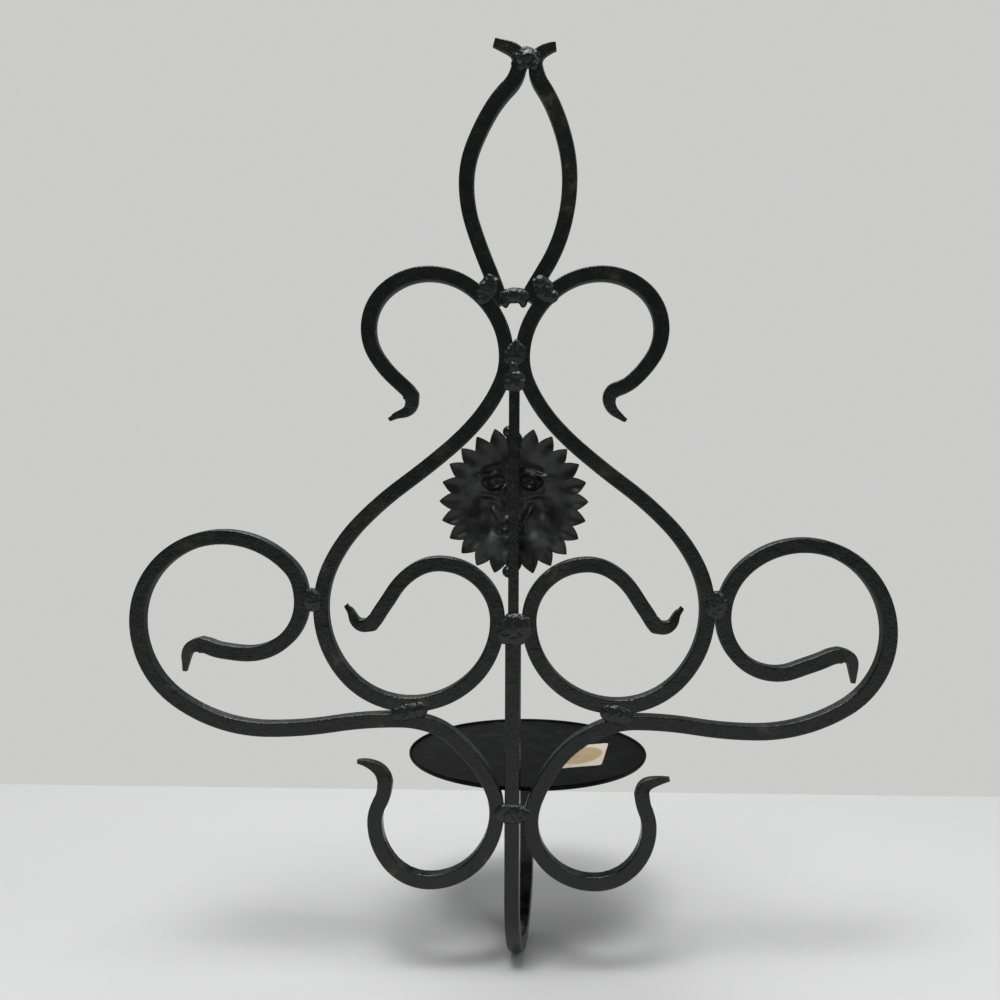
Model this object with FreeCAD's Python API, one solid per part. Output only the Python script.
"""Wall candle sconce of scrolled square bar, with a stamped sun and a drip pan on a U-bent bracket.

Millimetres. +Z is up, the front faces -Y and the wall is on the +Y side. Left and right are as
seen from the front, so the right side is at +X. The bars are drawn from the frame's centreline
(x = 0) and from the height of the two petals' neck (z = 0), and each finished piece is then moved
so that the origin is the point under the neck where the nail holds the hanging loop.
"""
import FreeCAD
import Part

import math
import os

from collections import namedtuple
from FreeCAD import Vector

# ---------------------------------------------------------------- stock
BAR = 6.0                   # square bar of the petals, scrolls and bracket
BAR_CORNER = 0.7            # rolled corner of that bar
UPRIGHT_BAR = 4.3           # thinner square bar that carries the sun
UPRIGHT_CORNER = 0.5
ROOT_GAP = 0.4              # gap left between two bars that are welded side by side
TAPER_LENGTH = 16.0         # drawn-out end of every free bar end
TIP_WIDTH = 1.5             # end of that taper, in the plane of the frame
TIP_DEPTH = 2.4             # end of that taper, from front to back
PETAL_TIP_WIDTH = 3.4       # the petals' flared ends are blunter

# ---------------------------------------------------------------- hanging loop
LOOP_LEAN = -4.6            # x of the petals' neck: the loop leans to the left
LOOP_APEX_DROP = 7.0        # the nail sits this far under the neck

# ---------------------------------------------------------------- S-shaped bars
CURL_TOP_X = 34.3
CURL_TOP_Z = -83.4
CURL_OUT_X = 58.3
CURL_OUT_Z = -105.3
NECK_Z = -116.5             # where the two S-bars touch
HEART_X = 78.0              # widest half-width of the heart
HEART_Z = -218.0
FOOT_X = 42.0               # lowest point of the heart
FOOT_Z = -256.8
WAIST_Z = -222.3            # where the inner curls touch the lower bar
INNER_TOP_X = 30.0
INNER_TOP_Z = -199.3

# ---------------------------------------------------------------- outer scrolls
CREST_X = 46.0              # where a scroll passes under the foot of the heart
SIDE_WELD_GAP_RIGHT = 1.8   # open gap under the weld between the right scroll and the heart
LOW_WELD_GAP_LEFT = 1.6     # the left lower curl stands off the bracket bar

# ---------------------------------------------------------------- upright and bracket
UPRIGHT_TOP_Z = -128.0
BRACKET_TOP_Z = -220.0      # the upright stands on the bracket bar here
BEND_RADIUS = 29.5          # centreline radius of the U-bend
BEND_Z = -338.1             # height of the bend's centre
BRACKET_TWIST = 5.8         # the bracket is turned this far to the left, degrees

# ---------------------------------------------------------------- drip pan
PAN_RADIUS = 54.5
PAN_SHEET = 1.2
PAN_LIP = 2.4               # height of the pan over all
PAN_BEND = 1.6              # outer radius between floor and lip
PAN_FLOOR_Z = -294.4        # underside of the floor, on the bracket's end

# ---------------------------------------------------------------- sun
SUN_Z = -174.4
SUN_RAYS = 24
SUN_TIP_RADIUS = 30.6
SUN_ROOT_RADIUS = 26.2
SUN_SHEET = 1.0
SUN_GAP = 0.2               # the rays stand this far off the front of the bars
DOME_RADIUS = 22.5          # rim of the stamped dome
DOME_HEIGHT = 6.0

# ---------------------------------------------------------------- welds
WELD_PROUD = 1.7            # height of a weld lump over the back of the bars
WELD_BITE = 2.6             # depth that a lump reaches down between the bars
TACK_SIZE = 5.0
PAN_WELD_RADIUS = 6.2       # bead round the bracket end under the pan
PAN_WELD_DROP = 2.2

Key = namedtuple("Key", "x z heading")   # a point of a bar's centreline and its direction


# ================================================================ curves
def flat(x, z):
    """A point of the frame's middle plane."""
    return Vector(x, 0, z)


def direction(heading):
    """Unit vector in the frame's plane, the heading counted from +X towards +Z."""
    turn = math.radians(heading)
    return flat(math.cos(turn), math.sin(turn))


def tangent_arc(start, along, end):
    """Arc or line that leaves start in the direction along and reaches end."""
    chord = end - start
    side = Vector(chord.z, 0, -chord.x)
    lean = math.atan2(along.x * chord.z - along.z * chord.x, along.dot(chord))
    if abs(lean) < 1e-4:
        return Part.LineSegment(start, end)
    middle = (start + end) * 0.5 + side * (0.5 * math.tan(lean / 2))
    return Part.Arc(start, middle, end)


def biarc(key, following):
    """Two tangent arcs from one key point to the next."""
    start = flat(key.x, key.z)
    end = flat(following.x, following.z)
    leave = direction(key.heading)
    arrive = direction(following.heading)
    chord = end - start
    spread = 2 * (1 - leave.dot(arrive))
    reach = chord.dot(leave + arrive)
    if spread < 1e-6:
        handle = chord.dot(chord) / (2 * reach)
    else:
        handle = (math.sqrt(reach * reach + spread * chord.dot(chord)) - reach) / spread
    middle = (start + end + (leave - arrive) * handle) * 0.5
    across = middle - start
    turn = math.atan2(leave.x * across.z - leave.z * across.x, leave.dot(across))
    through = direction(key.heading + math.degrees(2 * turn))
    return [tangent_arc(start, leave, middle), tangent_arc(middle, through, end)]


def centreline(keys):
    """Edges of the smooth curve through the key points."""
    edges = []
    for key, following in zip(keys, keys[1:]):
        edges += [piece.toShape() for piece in biarc(key, following)]
    return edges


def mirrored(keys):
    """The same curve on the left side."""
    return [Key(-key.x, key.z, 180 - key.heading) for key in keys]


# ================================================================ bars
def square_section(place, along, width, depth, corner):
    """Rounded rectangle across a bar: width in the frame's plane, depth from front to back."""
    across = along.cross(Vector(0, 1, 0)).normalize()
    back = Vector(0, 1, 0)
    half_w = width / 2
    half_d = depth / 2
    flat_w = half_w - corner
    flat_d = half_d - corner
    soft = corner * (1 - math.sqrt(0.5))

    def spot(a, b):
        return place + across * a + back * b

    edges = []
    corners = [(1, 1), (-1, 1), (-1, -1), (1, -1)]
    for (sa, sb), (ta, tb) in zip(corners, corners[1:] + corners[:1]):
        if sb == tb:
            edges.append(Part.LineSegment(spot(sa * flat_w, sb * half_d), spot(ta * flat_w, tb * half_d)))
            bend = [(ta * flat_w, tb * half_d), (ta * (half_w - soft), tb * (half_d - soft)),
                    (ta * half_w, tb * flat_d)]
        else:
            edges.append(Part.LineSegment(spot(sa * half_w, sb * flat_d), spot(ta * half_w, tb * flat_d)))
            bend = [(ta * half_w, tb * flat_d), (ta * (half_w - soft), tb * (half_d - soft)),
                    (ta * flat_w, tb * half_d)]
        edges.append(Part.Arc(*[spot(a, b) for a, b in bend]))
    return Part.Wire([edge.toShape() for edge in edges])


def spot_on(edges, distance):
    """Point and direction at a distance along a run of edges."""
    for edge in edges:
        if distance <= edge.Length or edge is edges[-1]:
            break
        distance -= edge.Length
    parameter = edge.getParameterByLength(min(distance, edge.Length))
    return edge.valueAt(parameter), edge.tangentAt(parameter)


def sweep(edges, section):
    """Solid of one section carried along a smooth flat path."""
    pipe = Part.BRepOffsetAPI.MakePipeShell(Part.Wire(edges))
    pipe.setBiNormalMode(Vector(0, 1, 0))
    pipe.add(section)
    pipe.build()
    pipe.makeSolid()
    return pipe.shape()


def cut_path(edges, start, end):
    """The part of a run of edges between two distances along it."""
    kept = []
    passed = 0.0
    for edge in edges:
        low = max(start - passed, 0.0)
        high = min(end - passed, edge.Length)
        if high - low > 1e-6:
            first = edge.getParameterByLength(low)
            last = edge.getParameterByLength(high)
            kept.append(edge.Curve.toShape(first, last))
        passed += edge.Length
    return kept


def taper(edges, root, tip, tip_width):
    """Drawn-out end of a bar, from the full section at root to a small one at tip."""
    steps = 7
    sections = []
    for step in range(steps + 1):
        share = step / steps
        place, along = spot_on(edges, root + (tip - root) * share)
        ease = share ** 1.3
        width = BAR + (tip_width - BAR) * ease
        depth = BAR + (TIP_DEPTH - BAR) * ease
        corner = BAR_CORNER * min(width, depth) / BAR
        sections.append(square_section(place, along, width, depth, corner))
    return Part.makeLoft(sections, True, False)


def joined(solids, seams):
    """One solid from runs of a bar that share a section at each seam."""
    faces = []
    for solid in solids:
        for face in solid.Faces:
            if all(face.CenterOfMass.distanceToPoint(seam) > 0.01 for seam in seams):
                faces.append(face)
    shell = Part.makeShell(faces)
    shell.sewShape()
    return Part.makeSolid(shell)


def forged_bar(keys, tapered_end=True, tip_width=TIP_WIDTH):
    """One square bar bent along its key points, with its start and mostly its end drawn out."""
    edges = centreline(keys)
    length = sum(edge.Length for edge in edges)
    first = TAPER_LENGTH
    last = length - TAPER_LENGTH if tapered_end else length
    place, along = spot_on(edges, first)
    runs = [sweep(cut_path(edges, first, last), square_section(place, along, BAR, BAR, BAR_CORNER)),
            taper(edges, first, 0.0, tip_width)]
    seams = [place]
    if tapered_end:
        runs.append(taper(edges, last, length, tip_width))
        seams.append(spot_on(edges, last)[0])
    return joined(runs, seams)


# ================================================================ the six scrolled bars
def s_bar_keys(hook, tip):
    """From the upper curl's tip over the neck, heart side and foot to the inner curl's tip."""
    neck_x = (BAR + ROOT_GAP) / 2
    waist_x = BAR + ROOT_GAP
    return [
        Key(*tip, 150),
        Key(*hook, 95),
        Key(47.5, -125.3, 42),
        Key(CURL_OUT_X, CURL_OUT_Z, 90),
        Key(CURL_TOP_X, CURL_TOP_Z, 180),
        Key(16.5, -89.6, 218),
        Key(neck_x, NECK_Z, 270),
        Key(9.8, -135.0, 303),
        Key(26.0, -152.9, 319.5),
        Key(62.0, -182.9, 314),
        Key(HEART_X, HEART_Z, 270),
        Key(FOOT_X, FOOT_Z, 180),
        Key(waist_x, WAIST_Z, 90),
        Key(INNER_TOP_X, INNER_TOP_Z, 0),
        Key(45.6, -207.0, -48),
        Key(52.3, -216.6, -55),
        Key(60.5, -224.7, 0),
        Key(68.0, -216.4, 50),
    ]


def scroll_right_keys():
    """From the inner tip round the big loop, under the heart's foot, to the lower curl's tip."""
    return [
        Key(134.1, -244.2, 92),
        Key(129.3, -233.4, 170),
        Key(118.1, -235.7, 188),
        Key(108.0, -236.7, 180),
        Key(HEART_X + BAR + SIDE_WELD_GAP_RIGHT, -215.3, 90),
        Key(90.6, -201.0, 47),
        Key(118.0, -189.0, 0),
        Key(153.3, -224.0, 270),
        Key(100.0, -267.7, 180),
        Key(CREST_X, FOOT_Z - BAR - ROOT_GAP, 180),
        Key(24.9, -269.9, 219),
        Key(12.7, -283.3, 236),
        Key(BAR + ROOT_GAP, -301.0, 270),
        Key(34.1, -330.2, 0),
        Key(56.3, -305.5, 90),
        Key(52.2, -290.0, 90),
        Key(63.6, -281.0, 0),
    ]


def scroll_left_keys():
    """The other scroll, bent by hand: its free ends hang a little lower."""
    return mirrored([
        Key(136.9, -246.5, 92),
        Key(132.6, -235.2, 176),
        Key(120.4, -238.9, 199),
        Key(106.0, -242.9, 180),
        Key(HEART_X + BAR + ROOT_GAP, -220.0, 90),
        Key(116.3, -190.9, 0),
        Key(150.6, -226.6, 270),
        Key(98.0, -266.9, 180),
        Key(CREST_X + 4.0, FOOT_Z - BAR - ROOT_GAP, 180),
        Key(25.4, -272.4, 218),
        Key(13.9, -286.0, 240),
        Key(BAR + LOW_WELD_GAP_LEFT, -305.0, 270),
        Key(33.5, -330.0, 0),
        Key(55.6, -306.8, 90),
        Key(52.7, -293.0, 90),
        Key(63.8, -286.7, 8),
    ])


def petal_right_keys():
    """From the flared tip over the neck and the belly to the shoulder of the S-bar."""
    return [
        Key(8.6, 6.6, 196),
        Key(LOOP_LEAN + (BAR + ROOT_GAP) / 2, -0.8, 270),
        Key(9.9, -19.9, 301),
        Key(19.3, -48.0, 270),
        Key(10.6, -81.0, 360 - 113),
        Key(4.9, -95.6, 360 - 111),
    ]


def petal_left_keys():
    """The other petal."""
    return mirrored([
        Key(15.8, 4.9, 186),
        Key((BAR + ROOT_GAP) / 2 - LOOP_LEAN, -1.8, 270),
        Key(15.0, -18.6, 294),
        Key(21.5, -46.8, 270),
        Key(12.5, -80.6, 360 - 121),
        Key(4.6, -93.8, 360 - 121),
    ])


def largest(shape):
    """The biggest solid of a cut."""
    return max(shape.Solids, key=lambda solid: solid.Volume)


def scrolled_bars():
    """The six bars of the frame, by name."""
    bars = {
        "s_bar_right": forged_bar(s_bar_keys((41.0, -134.6), (50.4, -141.3))),
        "s_bar_left": forged_bar(mirrored(s_bar_keys((37.9, -133.6), (44.8, -141.4)))),
        "scroll_right": forged_bar(scroll_right_keys()),
        "scroll_left": forged_bar(scroll_left_keys()),
    }
    petals = {"petal_right": petal_right_keys(), "petal_left": petal_left_keys()}
    for name, keys in petals.items():
        petal = forged_bar(keys, tapered_end=False, tip_width=PETAL_TIP_WIDTH)
        shoulder = bars[name.replace("petal", "s_bar")]
        bars[name] = largest(petal.cut(shoulder))
    return bars


# ================================================================ upright and bracket
def upright():
    """Thin square bar between the neck and the bracket bar, flush with the frame's front."""
    section = square_section(flat(0, UPRIGHT_TOP_Z), Vector(0, 0, -1), UPRIGHT_BAR, UPRIGHT_BAR,
                             UPRIGHT_CORNER)
    post = Part.Face(section).extrude(Vector(0, 0, BRACKET_TOP_Z - UPRIGHT_TOP_Z))
    post.translate(Vector(0, (UPRIGHT_BAR - BAR) / 2, 0))
    return post


def turned(shape):
    """A bracket piece turned with the bracket about the lower bar."""
    shape.rotate(Vector(0, 0, 0), Vector(0, 0, 1), -BRACKET_TWIST)
    return shape


def candle_bracket():
    """Lower bar, U-bend to the front and front leg, in one bar."""
    front = -2 * BEND_RADIUS
    path = [
        Part.LineSegment(Vector(0, 0, BRACKET_TOP_Z), Vector(0, 0, BEND_Z)),
        Part.Arc(Vector(0, 0, BEND_Z), Vector(0, -BEND_RADIUS, BEND_Z - BEND_RADIUS),
                 Vector(0, front, BEND_Z)),
        Part.LineSegment(Vector(0, front, BEND_Z), Vector(0, front, PAN_FLOOR_Z)),
    ]
    section = square_section(flat(0, BRACKET_TOP_Z), Vector(0, 0, -1), BAR, BAR, BAR_CORNER)
    pipe = Part.BRepOffsetAPI.MakePipeShell(Part.Wire([piece.toShape() for piece in path]))
    pipe.setBiNormalMode(Vector(1, 0, 0))
    pipe.add(section)
    pipe.build()
    pipe.makeSolid()
    return turned(pipe.shape())


# ================================================================ drip pan
def drip_pan():
    """Shallow round pan: flat floor, small bend and a low rounded lip."""
    inner_bend = PAN_BEND - PAN_SHEET
    top = PAN_LIP - PAN_SHEET / 2
    inner = PAN_RADIUS - PAN_SHEET
    bend_x = PAN_RADIUS - PAN_BEND
    slant = math.sqrt(0.5)

    def spot(x, z):
        return Vector(x, 0, z)

    outline = [
        Part.LineSegment(spot(0, 0), spot(bend_x, 0)),
        Part.Arc(spot(bend_x, 0), spot(bend_x + PAN_BEND * slant, PAN_BEND * (1 - slant)),
                 spot(PAN_RADIUS, PAN_BEND)),
        Part.LineSegment(spot(PAN_RADIUS, PAN_BEND), spot(PAN_RADIUS, top)),
        Part.Arc(spot(PAN_RADIUS, top), spot(PAN_RADIUS - PAN_SHEET / 2, PAN_LIP), spot(inner, top)),
        Part.LineSegment(spot(inner, top), spot(inner, PAN_BEND)),
        Part.Arc(spot(inner, PAN_BEND),
                 spot(bend_x + inner_bend * slant, PAN_BEND - inner_bend * slant),
                 spot(bend_x, PAN_SHEET)),
        Part.LineSegment(spot(bend_x, PAN_SHEET), spot(0, PAN_SHEET)),
        Part.LineSegment(spot(0, PAN_SHEET), spot(0, 0)),
    ]
    face = Part.Face(Part.Wire([piece.toShape() for piece in outline]))
    pan = face.revolve(Vector(0, 0, 0), Vector(0, 0, 1), 360)
    pan.translate(Vector(0, -2 * BEND_RADIUS, PAN_FLOOR_Z))
    return turned(pan)


# ================================================================ sun
def spheroid(centre, axis, half_length, radius):
    """Smooth lump round an axis: an ellipse spun about it."""
    aside = Vector(axis.y, axis.z, axis.x)
    origin = Vector(0, 0, 0)
    if half_length >= radius:
        oval = Part.Ellipse(axis * half_length, aside * radius, origin)
        half = Part.ArcOfEllipse(oval, 0, math.pi)
    else:
        oval = Part.Ellipse(aside * radius, axis * half_length, origin)
        half = Part.ArcOfEllipse(oval, -math.pi / 2, math.pi / 2)
    profile = half.toShape()
    chord = Part.LineSegment(half.EndPoint, half.StartPoint).toShape()
    lump = Part.Face(Part.Wire([profile, chord])).revolve(origin, axis, 360)
    lump.translate(centre)
    return lump


def cap_radius(rim, height):
    """Radius of the ball whose cap has this rim and height."""
    return (rim * rim + height * height) / (2 * height)


def dome_shell(back):
    """Thin dome that bulges to the front, with a narrow flat rim."""
    rim = DOME_RADIUS - SUN_SHEET
    hollow = DOME_HEIGHT - SUN_SHEET
    outer = cap_radius(rim, DOME_HEIGHT)
    inner = cap_radius(rim, hollow)

    def spot(radius, forward):
        return Vector(radius, back - forward, 0)

    def bulge(ball, height):
        turn = 0.5 * math.asin(rim / ball)
        return spot(ball * math.sin(turn), height - ball * (1 - math.cos(turn)))

    front = SUN_SHEET + DOME_HEIGHT
    outline = [
        Part.LineSegment(spot(0, hollow), spot(0, front)),
        Part.Arc(spot(0, front), bulge(outer, front), spot(rim, SUN_SHEET)),
        Part.LineSegment(spot(rim, SUN_SHEET), spot(DOME_RADIUS, SUN_SHEET)),
        Part.LineSegment(spot(DOME_RADIUS, SUN_SHEET), spot(DOME_RADIUS, 0)),
        Part.LineSegment(spot(DOME_RADIUS, 0), spot(rim, 0)),
        Part.Arc(spot(rim, 0), bulge(inner, hollow), spot(0, hollow)),
    ]
    face = Part.Face(Part.Wire([piece.toShape() for piece in outline]))
    return face.revolve(Vector(0, 0, 0), Vector(0, 1, 0), 360)


def ray_ring(back):
    """Flat ring of pointed rays."""
    points = []
    for step in range(2 * SUN_RAYS):
        radius = SUN_TIP_RADIUS if step % 2 == 0 else SUN_ROOT_RADIUS
        turn = math.pi * step / SUN_RAYS
        points.append(Vector(radius * math.sin(turn), back, radius * math.cos(turn)))
    star = Part.Face(Part.makePolygon(points + points[:1])).extrude(Vector(0, -SUN_SHEET, 0))
    bore = Part.makeCylinder(DOME_RADIUS, 3 * SUN_SHEET, Vector(0, back + SUN_SHEET, 0), Vector(0, -1, 0))
    return star.cut(bore)


def face_lumps(back):
    """Nose, lips, chin, cheeks and eyes, none of them reaching into the dome's hollow."""
    front = back - SUN_SHEET - DOME_HEIGHT
    hollow = DOME_HEIGHT - SUN_SHEET
    ball = cap_radius(DOME_RADIUS - SUN_SHEET, hollow)
    inside = Part.makeSphere(ball, Vector(0, back - hollow + ball, 0))
    down = Vector(0, 0, -1)
    across = Vector(1, 0, 0)
    lumps = [Part.makeCone(1.2, 3.2, 14.0, Vector(0, front + 1.6, 8.5), down),
             Part.makeCylinder(1.9, 9.0, Vector(-4.5, front + 1.9, -11.6), across),
             Part.makeSphere(3.4, Vector(0, front + 3.6, -18.0))]
    for side in (1, -1):
        lumps.append(Part.makeSphere(7.2, Vector(side * 11.6, front + 6.6, -4.6)))
        lumps.append(Part.makeSphere(2.9, Vector(side * 7.6, front + 2.2, 6.8)))
    return [lump.cut(inside) for lump in lumps]


def sun_face():
    """Stamped sun: a ring of pointed rays round a domed face, hollow at the back."""
    back = -BAR / 2 - SUN_GAP
    sun = ray_ring(back).fuse(dome_shell(back))
    for lump in face_lumps(back):
        sun = sun.fuse(lump)
    sun.translate(Vector(0, 0, SUN_Z))
    return largest(sun)


# ================================================================ welds
def without(lump, neighbours):
    """What is left of a weld lump outside the pieces that it joins."""
    for neighbour in neighbours:
        lump = largest(lump.cut(neighbour))
    return lump


def bead(x, z, length, width, slope, neighbours):
    """Weld bead on the back of the bars, poured round what it joins."""
    back = BAR / 2
    lump = spheroid(Vector(0, back + WELD_PROUD - width / 2, 0), Vector(1, 0, 0), length / 2, width / 2)
    half = length + width
    lump = lump.common(Part.makeBox(2 * half, half, 2 * half, Vector(-half, back - WELD_BITE, -half)))
    lump.rotate(Vector(0, 0, 0), Vector(0, 1, 0), -slope)
    lump.translate(Vector(x, 0, z))
    return without(lump, neighbours)


def frame_welds(bars, post, bracket):
    """The beads that join the bars of the frame."""
    side_x = HEART_X + (BAR + ROOT_GAP) / 2
    side_right_x = HEART_X + (BAR + SIDE_WELD_GAP_RIGHT) / 2
    foot_z = FOOT_Z - (BAR + ROOT_GAP) / 2
    pairs = {side: [bars["s_bar_" + side], bars["scroll_" + side]] for side in ("right", "left")}
    petals = [bars["petal_right"], bars["petal_left"]]
    necks = [bars["s_bar_right"], bars["s_bar_left"]]
    curls = [bars["scroll_right"], bars["scroll_left"]]
    return {
        "weld_loop_top": bead(LOOP_LEAN, 0.0, 12.0, 13.0, 0, petals),
        "weld_petal_right": bead(11.4, -89.6, 17.0, 13.5, -50, [petals[0], necks[0]]),
        "weld_petal_left": bead(-12.2, -89.8, 17.0, 13.5, 50, [petals[1], necks[1]]),
        "weld_petal_bridge": bead(0.0, -92.4, 14.0, 8.0, 0, petals + necks),
        "weld_neck": bead(0.0, NECK_Z + 1.5, 15.5, 11.0, 0, necks),
        "weld_upright_top": bead(0.0, UPRIGHT_TOP_Z + 1.5, 12.5, 10.5, 0, necks + [post]),
        "weld_side_right": bead(side_right_x, -214.3, 13.0, 12.0, 0, pairs["right"]),
        "weld_side_left": bead(-side_x, -215.4, 14.0, 13.5, 0, pairs["left"]),
        "weld_foot_right": bead(FOOT_X, foot_z, 18.5, 11.5, -12, pairs["right"]),
        "weld_foot_left": bead(-FOOT_X, foot_z, 17.0, 13.5, 8, pairs["left"]),
        "weld_waist": bead(0.0, -225.6, 24.0, 17.5, 0, necks + [post, bracket]),
        "weld_low": bead(0.0, -301.4, 23.0, 11.5, 0, curls + [bracket]),
    }


def sun_tack(z, sun, post):
    """Tack in the corner between the upright and the back of a ray."""
    lump = Part.makeSphere(TACK_SIZE / 2, Vector(UPRIGHT_BAR / 2, -BAR / 2, z))
    return without(lump, [sun, post])


def weld_pan(bracket):
    """Bead all round the bracket's end under the pan."""
    collar = spheroid(Vector(0, 0, 0), Vector(0, 0, 1), PAN_WELD_DROP, PAN_WELD_RADIUS)
    below = Part.makeBox(4 * BAR, 4 * BAR, BAR, Vector(-2 * BAR, -2 * BAR, -BAR))
    collar = collar.common(below)
    collar.translate(Vector(0, -2 * BEND_RADIUS, PAN_FLOOR_Z))
    return without(turned(collar), [bracket])


# ================================================================ whole sconce
def sconce():
    """Every piece of the sconce, by name."""
    bars = scrolled_bars()
    post = upright()
    bracket = candle_bracket()
    pan = drip_pan()
    sun = sun_face()
    pieces = dict(bars)
    pieces["upright"] = post
    pieces["candle_bracket"] = bracket
    pieces["drip_pan"] = pan
    pieces["sun_face"] = sun
    pieces.update(frame_welds(bars, post, bracket))
    reach = (SUN_TIP_RADIUS + SUN_ROOT_RADIUS) / 2
    pieces["weld_sun_top"] = sun_tack(SUN_Z + reach, sun, post)
    pieces["weld_sun_bottom"] = sun_tack(SUN_Z - reach, sun, post)
    pieces["weld_pan"] = weld_pan(bracket)
    return pieces


os.makedirs("parts", exist_ok=True)
for node, piece in sconce().items():
    piece.translate(Vector(-LOOP_LEAN, 0, LOOP_APEX_DROP))
    piece.exportStep("parts/" + node + ".step")
    box = piece.BoundBox
    print("%-18s solids %d valid %s volume %8.1f  x %.1f..%.1f y %.1f..%.1f z %.1f..%.1f" % (
        node, len(piece.Solids), piece.isValid(), piece.Volume,
        box.XMin, box.XMax, box.YMin, box.YMax, box.ZMin, box.ZMax))
